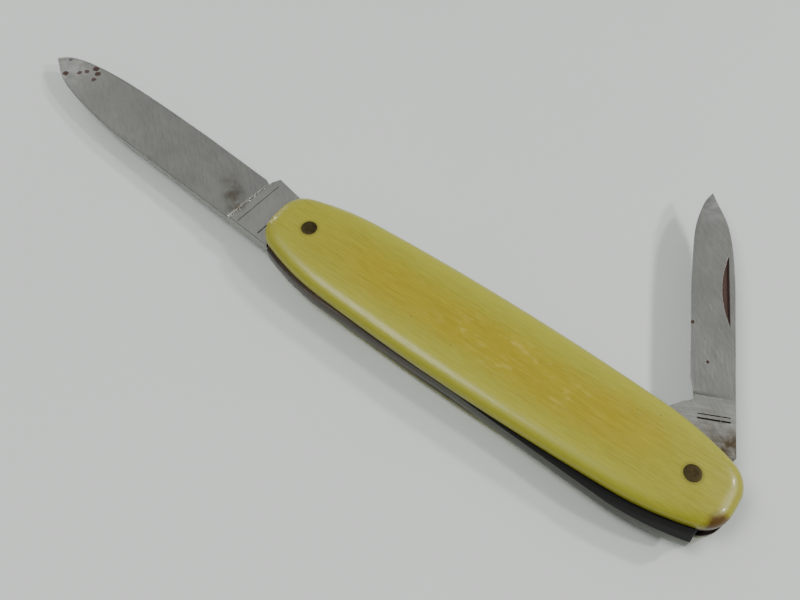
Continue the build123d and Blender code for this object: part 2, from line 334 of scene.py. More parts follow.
def celluloid():
    """Yellowed ivory-look celluloid, worn pale in places along its middle."""
    net = Net("celluloid", IOR=1.46, Coat_Weight=0.12, Coat_Roughness=0.1)
    here = net.place()
    fine = net.noise(net.place(stretch=GRAIN_STRETCH), 15.0, 2.0, 0.6)
    base = grained_ivory(net, here, fine)
    patch = net.noise(net.place(stretch=(0.5, 1, 1)), 0.85, 5.0, 0.65)
    zone = net.spot(net.place(stretch=(0.3, 1, 0)), (1.4, 0.0, 0), 1.5, 5.0)
    base = net.tint(net.ease(patch, 0.5, 0.72) * zone * 0.32, base, colour(190, 180, 84))
    base = pocket_dirt(net, here, green_rims(net, here, base))
    scratch = net.noise(net.place(turn=0.35, stretch=(0.08, 2.2, 1)), 7.0, 2.0, 0.7)
    rough = 0.34 + 0.14 * net.ease(scratch, 0.55, 0.75) + 0.1 * net.ease(patch, 0.45, 0.7)
    relief = net.bump(fine, 0.02, 0.6)
    relief = net.bump(scratch, 0.006, 0.3, under=relief)
    relief = net.bump(net.noise(here, 0.35, 2.0), 0.06, 0.5, under=relief)
    net.set(Base_Color=base, Roughness=rough, Normal=relief)
    return net.material


def brushed_steel(net, here, tang, blade, lines, slanted):
    """Bare steel with brush lines, diagonal wear and a paler tang and tip."""
    clouds = net.noise(here, 0.16, 4.0, 0.6)
    base = net.tint(net.ease(clouds, 0.35, 0.7), colour(158, 158, 151), colour(168, 168, 160))
    base = net.tint(net.ease(lines, 0.35, 0.75) * 0.2, base, colour(120, 120, 116))
    base = net.tint(net.ease(slanted, 0.46, 0.72) * 0.42, base, colour(112, 111, 105))
    base = net.tint(net.ease(slanted, 0.42, 0.28) * 0.3, base, colour(206, 206, 200))
    base = net.tint(tang * blade.tang_shine, base, colour(176, 176, 168))
    smoke = net.noise(here, 0.55, 4.0, 0.6)
    worn = net.spot(here, blade.worn_tip, 1.5, 6.0) * net.ease(smoke, 0.35, 0.65)
    base = net.tint(worn * 0.6, base, colour(212, 211, 204))
    for centre, inner, outer, strength in blade.smudges:
        mask = net.spot(here, centre, inner, outer) * strength * net.ease(smoke, 0.22, 0.68)
        base = net.tint(mask, base, colour(92, 80, 62))
    return base


def rust_cover(net, here, blade, ragged):
    """Where rust and dirt cover the steel: in the nail nick and at the blade's own spots."""
    covered = net.nick_mask(blade, here) * (0.75 + 0.5 * ragged)
    for centre, size, strength in blade.rust:
        wander = net.spot(here, centre, 0.2 * size, 1.25 * size) + 1.5 * (ragged - 0.5)
        covered = covered + net.ease(wander, 0.35, 0.6) * strength
    return net.ease(covered, 0.1, 0.9)


def scored(net, here, base, blade, ragged):
    """Dark score lines across the tang, and a few pits."""
    for low, high, left, right in blade.scores:
        line = net.band(net.axis(here, "X"), low, high, 0.05)
        line = line * net.band(net.axis(here, "Y"), left, right, 0.2)
        base = net.tint(line * net.ease(ragged, 0.3, 0.45), base, colour(36, 33, 30))
    clouds = net.noise(here, 0.16, 4.0, 0.6)
    pits = net.ease(net.cells(here, 0.3), 0.06, 0.02) * net.ease(clouds, 0.5, 0.58)
    return net.tint(pits * 0.8, base, colour(46, 38, 32))


def steel(name, blade):
    """Satin blade steel in the blade's own frame: u from the pivot along X, v across Y."""
    net = Net(name, Metallic=1.0)
    turn = atan2(blade.along.y, blade.along.x)
    here = net.place(blade.pivot, turn, (1, blade.side, 0))
    cross = net.noise(net.place(blade.pivot, turn, (1, 0.05, 0.3)), 6.0, 3.0, 0.7)
    long_lines = net.noise(net.place(blade.pivot, turn, (0.03, 1, 0.3)), 9.0, 3.0, 0.7)
    slant = turn + blade.side * WEAR_SLANT
    slanted = net.noise(net.place(blade.pivot, slant, (0.12, 1.6, 0.3)), 3.2, 4.0, 0.75)
    tang = net.ease(net.axis(here, "X"), 12.6, 11.6)
    lines = net.add("ShaderNodeMix", {"data_type": "FLOAT"}, {0: tang, 2: long_lines, 3: cross})
    ragged = net.noise(here, 1.9, 5.0, 0.7)
    base = brushed_steel(net, here, tang, blade, lines, slanted)
    covered = rust_cover(net, here, blade, ragged)
    base = net.tint(covered, base, net.tint(ragged, colour(26, 16, 12), colour(78, 48, 34)))
    base = scored(net, here, base, blade, ragged)
    rough = 0.3 + 0.12 * net.ease(lines, 0.4, 0.7) + 0.3 * covered
    relief = net.bump(lines, 0.01, 0.3)
    relief = net.bump(slanted, 0.01, 0.3, under=relief)
    relief = net.bump(1 - covered, 0.02, 0.5, under=relief)
    net.set(Base_Color=base, Roughness=rough, Metallic=1 - 0.75 * covered, Normal=relief)
    return net.material


def spring_steel():
    """Dark steel brushed along its length, its upper and lower faces painted near black as shade from
    the middle to the pen end.
    """
    net = Net("spring_steel", Metallic=1.0)
    here = net.place()
    lines = net.noise(net.place(stretch=(0.03, 1, 1)), 7.0, 3.0, 0.6)
    dull = net.ease(net.axis(here, "X"), -14.0, 10.0)
    # Painted shade: the spring's upper and lower faces turn near black from the middle to the pen end,
    # and duller.
    off_middle = (net.axis(here, "Z") - SPRING_MIDDLE).absolute()
    painted_shade = net.ease(off_middle, SPRING_HALF - 0.05, SPRING_HALF - 0.02)
    painted_shade = painted_shade * net.ease(net.axis(here, "X"), -26.0, -4.0)
    base = net.tint(dull, colour(76, 68, 62), colour(86, 87, 80))
    base = net.tint(net.ease(lines, 0.4, 0.7) * 0.4, base, colour(66, 62, 54))
    blotch = net.noise(here, 0.7, 4.0, 0.65)
    base = net.tint(net.ease(blotch, 0.6, 0.74) * 0.3, base, colour(84, 66, 48))
    base = net.tint(painted_shade, base, colour(9, 8, 7))
    rough = 0.22 + 0.12 * lines + 0.4 * painted_shade
    relief = net.bump(lines, 0.01, 0.4)
    net.set(Base_Color=base, Roughness=rough, Metallic=1 - 0.6 * painted_shade, Normal=relief)
    return net.material


def liner_flats(net, here):
    """1 on a liner's two flat faces, 0 on its rim."""
    off_middle = (net.axis(here, "Z") - SPRING_MIDDLE).absolute()
    off_sheet = (off_middle - SPRING_HALF - LINER_HALF).absolute()
    return net.ease(off_sheet, LINER_HALF - 0.03, LINER_HALF - 0.01)


def tarnished_brass(name, tones, dirt_and_shade, on_flats):
    """Old brass gone brown, brighter where it is rubbed, then darkened: by dirt all over, or by painted
    shade, near black, on a liner's flats facing the slot.
    """
    net = Net(name, Metallic=0.85)
    here = net.place()
    clouds = net.noise(here, 1.3, 4.0, 0.65)
    grain = net.noise(net.place(turn=0.6, stretch=(0.15, 1, 1)), 9.0, 3.0, 0.7)
    brown, rubbed, scratched = (colour(*tone) for tone in tones)
    base = net.tint(net.ease(clouds, 0.38, 0.66), brown, rubbed)
    base = net.tint(net.ease(grain, 0.5, 0.75) * 0.4, base, scratched)
    # On a liner the flats get painted shade for the slot they face; a pin is darkened all over.
    cover = liner_flats(net, here) * 0.9 if on_flats else 0.75
    base = net.tint(cover, base, colour(*dirt_and_shade))
    rough = 0.42 + 0.25 * net.ease(clouds, 0.4, 0.7)
    net.set(Base_Color=base, Roughness=rough, Normal=net.bump(grain, 0.012, 0.5))
    return net.material


def paper():
    """The pale matte surface that the knife lies on."""
    net = Net("paper")
    here = net.place()
    mottle = net.noise(here, 0.02, 3.0)
    grain = net.noise(here, 1.4, 3.0)
    base = net.tint(mottle, colour(202, 206, 201), colour(208, 212, 207))
    net.set(Base_Color=base, Roughness=0.55 + 0.1 * grain, Normal=net.bump(grain, 0.01, 0.2))
    return net.material


# ---- mesh building ----
WELD = 0.002 * MM
THINNEST = 0.001 * MM


def finish_mesh(mesh, sharp):
    """Welds a mesh, points its faces outwards and marks its hard edges."""
    work = bmesh.new()
    work.from_mesh(mesh)
    bmesh.ops.remove_doubles(work, verts=work.verts, dist=WELD)
    bmesh.ops.dissolve_degenerate(work, edges=work.edges, dist=THINNEST)
    bmesh.ops.recalc_face_normals(work, faces=work.faces)
    for face in work.faces:
        face.smooth = True
    for edge in work.edges:
        hard = len(edge.link_faces) != 2 or edge.calc_face_angle(0) > sharp
        edge.smooth = not hard
    work.to_mesh(mesh)
    work.free()


def dress(name, mesh, body, material, replaces):
    """Gives a mesh its material and body, and hides the CAD nodes that it stands for."""
    mesh.materials.clear()
    mesh.materials.append(material)
    piece = bpy.data.objects.new(name, mesh)
    bpy.context.scene.collection.objects.link(piece)
    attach(piece, body)
    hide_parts(*replaces)
    return piece


def refinish(name, material):
    """Gives a CAD node that keeps its own shape a material."""
    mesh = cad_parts[name].data
    mesh.materials.clear()
    mesh.materials.append(material)


def mesh_of(name, vertices, faces):
    """A mesh from vertices in millimetres."""
    mesh = bpy.data.meshes.new(name)
    mesh.from_pydata([metres(vertex) for vertex in vertices], [], faces)
    return mesh


def points_of(rings):
    """The points of all rings in one list."""
    return [point for ring in rings for point in ring]


def skin(rings):
    """Faces between closed rings of equal length, numbered ring by ring."""
    count = len(rings[0])
    faces = []
    for level in range(len(rings) - 1):
        for i in range(count):
            j = (i + 1) % count
            low = level * count
            high = low + count
            faces.append((low + i, low + j, high + j, high + i))
    return faces


# ---- scales ----
def quarter_arcs():
    """Centre, radius and end angle of each tangent arc from the +X end to the side."""
    end_turn = asin(END_HALF_FLAT / END_RADIUS)
    end_centre = Vector((HALF_LENGTH - END_RADIUS, 0))
    way = Vector((cos(end_turn), sin(end_turn)))
    shoulder_centre = end_centre + way * (END_RADIUS - SHOULDER_RADIUS)
    side_centre = Vector((0, HALF_WIDTH - SIDE_RADIUS))
    to_shoulder = shoulder_centre - side_centre
    side_reach = SIDE_RADIUS - HAUNCH_RADIUS
    shoulder_reach = HAUNCH_RADIUS - SHOULDER_RADIUS
    span = to_shoulder.length
    along = (side_reach**2 - shoulder_reach**2 + span**2) / (2 * span)
    forward = to_shoulder / span
    aside = Vector((-forward.y, forward.x)) * sqrt(side_reach**2 - along**2)
    haunch_centre = side_centre + forward * along + aside
    to_haunch = shoulder_centre - haunch_centre
    from_side = haunch_centre - side_centre
    return [
        (end_centre, END_RADIUS, end_turn),
        (shoulder_centre, SHOULDER_RADIUS, atan2(to_haunch.y, to_haunch.x)),
        (haunch_centre, HAUNCH_RADIUS, atan2(from_side.y, from_side.x)),
        (side_centre, SIDE_RADIUS, pi / 2),
    ]


ARCS = quarter_arcs()
STEP = 0.42
SIDE_STEP = 2.2 * STEP


def outline_stations():
    """Points round the outline as centre, radius and direction, for any inset."""
    quarter = []
    start = 0.0
    for centre, radius, stop in ARCS:
        step = SIDE_STEP if radius == SIDE_RADIUS else STEP
        count = max(4, ceil(radius * (stop - start) / step))
        for i in range(count):
            angle = start + (stop - start) * i / count
            quarter.append((centre, radius, Vector((cos(angle), sin(angle)))))
        start = stop
    top = (ARCS[-1][0], SIDE_RADIUS, Vector((0, 1)))
    half = quarter + [top] + [
        (Vector((-c.x, c.y)), r, Vector((-d.x, d.y))) for c, r, d in reversed(quarter[1:])
    ]
    lower = [(Vector((-c.x, -c.y)), r, Vector((-d.x, -d.y))) for c, r, d in half]
    first = quarter[0]
    left = (Vector((-first[0].x, 0)), first[1], Vector((-1, 0)))
    return half + [left] + lower[1:]


STATIONS = outline_stations()


def outline_ring(inset, height):
    """The outline drawn in by an inset, at a height."""
    ring = []
    for centre, radius, way in STATIONS:
        point = centre + way * (radius - inset)
        ring.append((point.x, point.y, height))
    return ring


MIDDLE_LINE_INSET = 6.5
EDGE_INSET = 2.5
EDGE_HEIGHT = 1.6
EDGE_STEPS = 12
FRONT_CROWN = 0.2
BACK_CROWN = 0.0
SCALE_HOLE_SPARE = 0.5
HOLE_SPARE = 1
SHARP_SCALE_EDGE = radians(40)


def inner_ring(inset, share, height):
    """A ring part way from an inset outline to the line down the scale's middle."""
    core = (HALF_LENGTH - MIDDLE_LINE_INSET) / HALF_LENGTH
    return [
        ((1 - share) * x + share * x * core, (1 - share) * y, height)
        for x, y, _ in outline_ring(inset, height)
    ]


def scale_rings(floor, rise, crown):
    """Rings of a scale from the middle of its inner face, round its edge, to its crown."""
    rings = [inner_ring(0, share, floor) for share in (1, 0.6, 0.25)]
    rings.append(outline_ring(0, floor))
    straight = SCALE_THICKNESS - EDGE_HEIGHT - crown
    rings += [outline_ring(0, floor + rise * straight * share) for share in (0.08, 0.5, 1)]
    for i in range(1, EDGE_STEPS + 1):
        turn = pi / 2 * i / EDGE_STEPS
        height = straight + EDGE_HEIGHT * sin(turn)
        rings.append(outline_ring(EDGE_INSET * (1 - cos(turn)), floor + rise * height))
    for i in range(1, EDGE_STEPS + 1):
        share = i / EDGE_STEPS
        height = SCALE_THICKNESS - crown * (1 - share) ** 2
        rings.append(inner_ring(EDGE_INSET, share, floor + rise * height))
    return rings


def pin_cutter(pivot, low, high, radius):
    """An upright cylinder that cuts a pin's hole."""
    work = bmesh.new()
    bmesh.ops.create_cone(
        work,
        cap_ends=True,
        segments=64,
        radius1=radius * MM,
        radius2=radius * MM,
        depth=(high - low) * MM,
        matrix=Matrix.Translation(metres((pivot.x, pivot.y, (low + high) / 2))),
    )
    mesh = bpy.data.meshes.new("pin_cutter")
    work.to_mesh(mesh)
    work.free()
    cutter = bpy.data.objects.new("pin_cutter", mesh)
    bpy.context.scene.collection.objects.link(cutter)
    return cutter


def evaluated_mesh(carrier):
    """The plain mesh of an object with its modifiers applied; the object is removed."""
    graph = bpy.context.evaluated_depsgraph_get()
    mesh = bpy.data.meshes.new_from_object(carrier.evaluated_get(graph))
    bpy.data.objects.remove(carrier)
    return mesh


def cut(mesh, cutters):
    """A mesh less some cutter objects, which are removed."""
    carrier = bpy.data.objects.new("carrier", mesh)
    bpy.context.scene.collection.objects.link(carrier)
    for cutter in cutters:
        modifier = carrier.modifiers.new("cut", "BOOLEAN")
        modifier.operation = "DIFFERENCE"
        modifier.solver = "MANIFOLD"
        modifier.object = cutter
    result = evaluated_mesh(carrier)
    for cutter in cutters:
        bpy.data.objects.remove(cutter)
    return result


def make_scale(name, floor, rise, crown, material):
    """One scale, its crown away from the liners, with a hole through it at each pivot."""
    rings = scale_rings(floor, rise, crown)
    mesh = mesh_of(name, points_of(rings), skin(rings))
    finish_mesh(mesh, SHARP_SCALE_EDGE)
    beyond = floor + rise * (SCALE_THICKNESS + SCALE_HOLE_SPARE)
    low, high = sorted((floor - SCALE_HOLE_SPARE * rise, beyond))
    radius = PIN_HEAD_RADIUS + PIN_CLEARANCE
    holes = [pin_cutter(pivot, low, high, radius) for pivot in (MAIN_PIVOT, PEN_PIVOT)]
    mesh = cut(mesh, holes)
    finish_mesh(mesh, SHARP_SCALE_EDGE)
    return dress(name + "_cover", mesh, "handle", material, (name,))


def make_sides():
    """Both scales, the front one slightly crowned, and the liners as the CAD's sheets."""
    ivory = celluloid()
    make_scale("front_scale", front_low.z, 1, FRONT_CROWN, ivory)
    make_scale("back_scale", scale_high.z, -1, BACK_CROWN, ivory)
    tones = ((52, 38, 28), (72, 54, 38), (34, 25, 18))
    # The liners' flats are painted near black as shade inside the slot.
    liner_brass = tarnished_brass("liner_brass", tones, (14, 11, 9), on_flats=True)
    for name in ("front_liner", "back_liner"):
        refinish(name, liner_brass)


make_sides()


# ---- back spring ----
# Each half stands PROUD of the handle, fully from PROUD_RUN outwards. The short blade's
# half is also lifted, because the part-open blade bends it. A KICK is the tang's corner
# that rests on the spring when its blade is closed.
SPRING_FLOOR = spring_low.z
SPRING_CEILING = spring_high.z
TANG_REACH = 3.5
SPRING_GAP = 0.05
MIDDLE_FACE = 4.38
SPRING_PROUD = 0.5
PROUD_RUN = 24.8
SPRING_LIFT = 1.25
LIFT_POWER = 1.1
SPRING_BEVEL = 0.1
SPRING_CROWN = 0.05
BEVEL_STEPS = 6
CROWN_STEPS = 8
SPRING_HOLE_RADIUS = 0.82
SHARP_SPRING_EDGE = radians(28)
MAIN_CLOSED_TILT = radians(4.3)
PEN_CLOSED_TILT = radians(1.5)
MAIN_KICK = (11.4, TANG_REACH + 1.4)
PEN_KICK = (9.2, TANG_REACH + 0.55)


def flat_angle(kick):
    """Angle of the line from a kick's tip that just touches the tang's reach circle."""
    reach = sqrt(kick[0] ** 2 + kick[1] ** 2)
    return atan2(kick[1], kick[0]) - asin(TANG_REACH / reach)


MAIN_FLAT = flat_angle(MAIN_KICK)
PEN_FLAT = flat_angle(PEN_KICK)
MAIN_SLOPE = MAIN_FLAT - MAIN_CLOSED_TILT
PEN_SLOPE = PEN_FLAT - PEN_CLOSED_TILT
OUTLINE = sorted(
    {(round(x, 4), round(y, 4)) for x, y, _ in outline_ring(0, 0) if y >= 0}
)


def half_width(x):
    """Half the handle's width at x."""
    return float(np.interp(x, [p[0] for p in OUTLINE], [p[1] for p in OUTLINE]))


def lift(x):
    """How far the bent spring stands out from where it lies at rest."""
    return SPRING_LIFT * (max(x, 0) / PEN_PIVOT.x) ** LIFT_POWER


def spring_back(x):
    """y of the spring's outer face at x."""
    return -half_width(x) - SPRING_PROUD * min(abs(x) / PROUD_RUN, 1) ** 2 - lift(x)


def spring_face(x):
    """y of its inner face at x: flat where a closed tang lies on it, then thick."""
    slope = MAIN_SLOPE if x < 0 else PEN_SLOPE
    flat = (TANG_REACH + SPRING_GAP) / cos(slope) + (PEN_PIVOT.x - abs(x)) * tan(slope)
    return -min(flat, MIDDLE_FACE) - lift(x)


def spring_ring(x, trim):
    """The spring's section at x, its outer corners rounded, drawn in by trim at an end."""
    inner, outer = spring_face(x) - trim, spring_back(x) + trim
    low, high = SPRING_FLOOR + trim, SPRING_CEILING - trim
    section = [(inner, low), (inner, high)]
    quarter = [pi / 2 * i / BEVEL_STEPS for i in range(BEVEL_STEPS + 1)]
    for turn in quarter:
        into = SPRING_BEVEL * (1 - sin(turn))
        section.append((outer + into, high - SPRING_BEVEL * (1 - cos(turn))))
    for i in range(1, CROWN_STEPS):
        share = i / CROWN_STEPS
        height = high - SPRING_BEVEL + (low + SPRING_BEVEL - high + SPRING_BEVEL) * share
        section.append((outer - SPRING_CROWN * sin(pi * share), height))
    for turn in quarter:
        into = SPRING_BEVEL * (1 - cos(turn))
        section.append((outer + into, low + SPRING_BEVEL * (1 - sin(turn))))
    return [(x, y, z) for y, z in section]


def spring_stations(end):
    """Stations from the middle to an end, with a small bevel at the end."""
    sign = 1 if end > 0 else -1
    count = 90
    stations = [(end * i / count, 0) for i in range(count)]
    return stations + [(end - 0.07 * sign, 0), (end - 0.03 * sign, 0.02), (end, 0.07)]


def make_spring_half(name, end, material):
    """One half of the spring: rings along X with a flat cap at each end."""
    rings = [spring_ring(x, trim) for x, trim in spring_stations(end)]
    vertices = points_of(rings)
    faces = skin(rings)
    count = len(rings[0])
    faces.append(tuple(range(count)))
    faces.append(tuple(range(len(vertices) - count, len(vertices))))
    mesh = mesh_of(name, vertices, faces)
    finish_mesh(mesh, SHARP_SPRING_EDGE)
    low, high = SPRING_FLOOR - HOLE_SPARE, SPRING_CEILING + HOLE_SPARE
    mesh = cut(mesh, [pin_cutter(SPRING_PIN, low, high, SPRING_HOLE_RADIUS)])
    finish_mesh(mesh, SHARP_SPRING_EDGE)
    return dress(name, mesh, "handle", material, ("back_spring",))


def make_spring():
    """Both halves; the short blade's half keeps a mesh of its own."""
    metal = spring_steel()
    make_spring_half("spring_long_blade_half", spring_low.x, metal)
    bent_half = make_spring_half("spring_short_blade_half", spring_high.x, metal)
    metres((0, -6, 3.7))
    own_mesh(bent_half)


make_spring()


# ---- blades ----
# Each blade has its own frame: u from the pivot, v across it, heights above TANG_FLOOR.
# The LEDGE is the step in a tang's spine side, just past the spring's end.
TANG_FLOOR = 2.65
TANG_CEILING = 4.75
TANG_THICKNESS = TANG_CEILING - TANG_FLOOR
LEDGE_U = 4.1
REAR_CORNER = 0.4
EDGE_LAND = 0.05
EDGE_THICKNESS = 0.14
BEVEL_SLOPE = tan(radians(13))
CHAMFER = 0.07
NARROW = 2.4
TIP_RUN = 8
BODY_STEP = 0.4
SHANK_CLEARANCE = 0.04
PIVOT_HOLE_RADIUS = SHANK_RADIUS + SHANK_CLEARANCE
SHARP_BLADE_EDGE = radians(20)


def smooth_curve(points, count=400):
    """A natural cubic through points, spaced by chord, as dense (u, v) rows."""
    knots = np.array(points, float)
    gaps = np.hypot(*np.diff(knots, axis=0).T)
    place = np.concatenate(([0], np.cumsum(gaps)))
    size = len(knots)
    system = np.eye(size)
    target = np.zeros((size, 2))
    for i in range(1, size - 1):
        before, after = gaps[i - 1], gaps[i]
        system[i, i - 1 : i + 2] = before, 2 * (before + after), after
        rise = (knots[i + 1] - knots[i]) / after - (knots[i] - knots[i - 1]) / before
        target[i] = 6 * rise
    bends = np.linalg.solve(system, target)
    rows = []
    for t in np.linspace(0, place[-1], count):
        i = min(int(np.searchsorted(place, t, side="right")) - 1, size - 2)
        gap, left, right = gaps[i], place[i + 1] - t, t - place[i]
        rows.append(
            (bends[i] * left**3 + bends[i + 1] * right**3) / (6 * gap)
            + (knots[i] / gap - bends[i] * gap / 6) * left
            + (knots[i + 1] / gap - bends[i + 1] * gap / 6) * right
        )
    return rows


def rising(points):
    """Points as two arrays with u rising, for interpolation."""
    table = np.array(sorted((float(u), float(v)) for u, v in points))
    return table[:, 0], table[:, 1]


class Blade:
    """A blade in its own frame: u along it from the pivot, v across with the edge side +.

    side is -1 where v is mirrored. body and tang_body give the heights of the lower and
    the upper face above the tang's floor.
    """

    def __init__(self, pivot, angle, side, belly, tang_edge, tang_back_edge, spine):
        self.pivot = pivot
        self.side = side
        self.along = Vector((cos(angle), sin(angle), 0))
        self.across = Vector((-sin(angle), cos(angle), 0)) * side
        self.length = belly[0][0]
        self.edge_table = rising(list(smooth_curve(belly)) + tang_edge)
        self.back_table = rising(tang_back_edge)
        self.spine_table = rising(list(smooth_curve(spine)) + [(LEDGE_U, self.shoulder)])

    def world(self, u, v, height):
        """A blade point in the handle's frame."""
        flat = self.pivot + self.along * u + self.across * v
        return (flat.x, flat.y, TANG_FLOOR + height)

    def corner(self, u):
        """How far the rounded rear corners draw the tang in at u."""
        short = REAR_CORNER - (u + TANG_REACH)
        return REAR_CORNER - sqrt(REAR_CORNER**2 - short**2) if short > 0 else 0.0

    def limits(self, u, before_ledge):
        """v of the edge side and of the spine side at u."""
        edge = float(np.interp(u, *self.edge_table)) - self.corner(u)
        table = self.back_table if before_ledge else self.spine_table
        back = float(np.interp(u, *table)) + self.corner(u)
        return edge, back

    def blend(self, u):
        """1 on the tang, falling along the hollow plunge to 0 on the blade."""
        share = min(max((u - self.plunge) / self.plunge_length, 0), 1)
        return (1 - share) ** 2

    def thinning(self, v, thick):
        """How far each ground face falls by v, on a blade so thick at its spine."""
        share = (v - self.spine_v) / (self.edge_v - self.spine_v)
        share = min(max(share, 0), 1)
        return share * (thick - EDGE_THICKNESS) / 2

    def heights(self, u, v, edge, back):
        """Lower and upper height at a point of the section between edge and back."""
        low, high = self.body(u, v)
        blend = self.blend(u)
        middle = (low + high) / 2
        from_edge, from_back = edge - v, v - back
        bevel = EDGE_LAND / 2 + from_edge * BEVEL_SLOPE
        half = min((high - low) / 2, bevel) if u > self.plunge else (high - low) / 2
        tang_low, tang_high = self.tang_body(u)
        low = (middle - half) * (1 - blend) + tang_low * blend
        high = (middle + half) * (1 - blend) + tang_high * blend
        drop = max(CHAMFER - from_back, 0)
        drop = max(drop, (CHAMFER - from_edge) * blend)
        drop = max(drop, CHAMFER - (u + TANG_REACH), 0)
        drop = min(drop, 0.35 * (high - low))
        return low + drop, high - drop

    def rows(self, width):
        """Distances from the edge to the spine, closer together at bevels and chamfers."""
        near = [0, CHAMFER, 0.3, 0.5, 0.8]
        far = [width - 0.5, width - CHAMFER, width]
        if width < NARROW:
            near = [width * d / NARROW for d in near]
            far = [width - (width - d) * width / NARROW for d in far]
        middle = [near[-1] + (far[0] - near[-1]) * i / 14 for i in range(1, 14)]
        return near + middle + far

    def ring(self, u, before_ledge):
        """The closed section at u: upper points edge to spine, then lower ones back."""
        edge, back = self.limits(u, before_ledge)
        upper, lower = [], []
        for distance in self.rows(max(edge - back, 0.0)):
            v = edge - distance
            low, high = self.heights(u, v, edge, back)
            upper.append(self.world(u, v, high))
            lower.append(self.world(u, v, low))
        return upper + lower[::-1]

    def stations(self):
        """u of each section, with close ones at corners, and on which side of the ledge."""
        start = [-TANG_REACH + d for d in (0, 0.02, CHAMFER, 0.13, 0.2, 0.28, REAR_CORNER)]
        marks = [u for u in self.marks if u > LEDGE_U]
        even_from = -2.6
        before = start + list(np.linspace(even_from, LEDGE_U, 14))
        plunge = self.plunge + self.plunge_length
        after = [LEDGE_U] + marks + list(np.linspace(LEDGE_U + 0.1, self.plunge, 12)[:-1])
        after += list(np.linspace(self.plunge, plunge, 12))
        body = np.arange(plunge + BODY_STEP, self.length - TIP_RUN, BODY_STEP)
        tip = self.length - TIP_RUN * (1 - np.linspace(0.02, 1, 70)) ** 1.6
        after = sorted(set(after) | set(body) | set(tip))
        return [(u, True) for u in before] + [(u, False) for u in after]

    def mesh(self, name):
        """The blade's skin without its holes."""
        rings = [self.ring(u, before) for u, before in self.stations()]
        vertices = points_of(rings)
        count = len(rings[0])
        faces = skin(rings)
        for start in (0, len(vertices) - count):
            end = start + count - 1
            for i in range(count // 2 - 1):
                faces.append((start + i, start + i + 1, end - 1 - i, end - i))
        return mesh_of(name, vertices, faces)


def tang_limits(flat, open_slope):
    """v of the tang's closed flat at its rear, and of its open flat at rear and ledge."""
    closed = TANG_REACH / cos(flat) - TANG_REACH * tan(flat)
    opened = TANG_REACH / cos(open_slope)
    rear = -opened + TANG_REACH * tan(open_slope)
    ledge = -opened - LEDGE_U * tan(open_slope)
    return closed, rear, ledge


# The long blade's tip lies at the end of its CAD node's box. The short blade, closed,
# ends PEN_TIP_TO_PIVOT short of the long one's pivot.
MAIN_TILT = radians(4.5)
MAIN_TIP_V = -1.15
main_reach = MAIN_PIVOT.x - node_box("main_blade")[0].x
MAIN_LENGTH = (main_reach + MAIN_TIP_V * sin(MAIN_TILT)) / cos(MAIN_TILT)
MAIN_PLUNGE = 12.0
MAIN_SPINE_THICKNESS = 1.65
MAIN_TIP_THICKNESS = 0.5
MAIN_TAPER = (MAIN_SPINE_THICKNESS - MAIN_TIP_THICKNESS) / (MAIN_LENGTH - MAIN_PLUNGE)
PEN_TIP_TO_PIVOT = 15.0
PEN_LENGTH = 2 * PEN_PIVOT.x - PEN_TIP_TO_PIVOT
PEN_ANGLE = radians(116.7)
BLADE_GAP = 0.08


def main_thickness(u):
    """Spine thickness of the long blade at u."""
    return MAIN_SPINE_THICKNESS - MAIN_TAPER * (u - MAIN_PLUNGE)


class MainBlade(Blade):
    """The long blade, flat ground, in the lower half of the slot."""

    shoulder = -5.35
    plunge = MAIN_PLUNGE
    plunge_length = 1.35
    marks = [11.3, 11.4, 11.5, 12.2, 13.85]
    spine_v, edge_v = -5.85, 3.95
    nick_u, nick_side = 41.0, (3.2, 3.0)
    # nick_side is the two heights between which the nick's dirt fades in. Each rust spot
    # has a centre, a radius and a strength; smudges have two radii; scores have u and v limits.
    rust = [
        ((57.3, -2.6, 0), 0.7, 1.0),
        ((55.6, -0.9, 0), 0.6, 0.8),
        ((54.9, 0.1, 0), 0.6, 0.8),
        ((54.2, 1.6, 0), 0.8, 1.0),
        ((53.0, 1.0, 0), 0.7, 0.9),
        ((52.4, -0.3, 0), 0.6, 0.8),
        ((59.4, 0.1, 0), 0.5, 0.7),
    ]
    smudges = [
        ((15.4, -1.6, 0), 0.6, 2.6, 0.7),
        ((17.8, -0.2, 0), 0.4, 2.6, 0.5),
        ((13.2, -3.0, 0), 0.3, 2.2, 0.9),
    ]
    tang_shine = 0.2
    worn_tip = (58.0, -1.8, 0)
    scores = [(6.6, 6.75, -4.6, 1.9), (10.6, 10.66, -5.0, 3.6)]

    def __init__(self):
        length = MAIN_LENGTH
        closed, rear, ledge = tang_limits(MAIN_FLAT, MAIN_TILT - MAIN_SLOPE)
        belly = [
            (length, MAIN_TIP_V), (length - 1.5, 0.4), (length - 3.4, 1.3), (length - 7.6, 2.35),
            (length - 12.3, 3.0), (length - 20, 3.53), (length - 34, 3.95),
        ]
        spine = [
            (length - 22, -5.85), (length - 8.5, -4.5), (length - 4, -3.25), (length - 1.6, -2.0),
            (length, MAIN_TIP_V),
        ]
        edge = [(-TANG_REACH, closed), MAIN_KICK, (12.2, 3.25), (13.85, 3.95)]
        back = [(-TANG_REACH, rear), (LEDGE_U, ledge)]
        super().__init__(MAIN_PIVOT.xy.to_3d(), pi - MAIN_TILT, -1, belly, edge, back, spine)

    def tang_body(self, u):
        """The tang's two heights, the same everywhere."""
        return 0.0, TANG_THICKNESS

    def body(self, u, v):
        """The two ground faces' heights."""
        thick = main_thickness(u)
        thin = self.thinning(v, thick)
        return thin, thick - thin


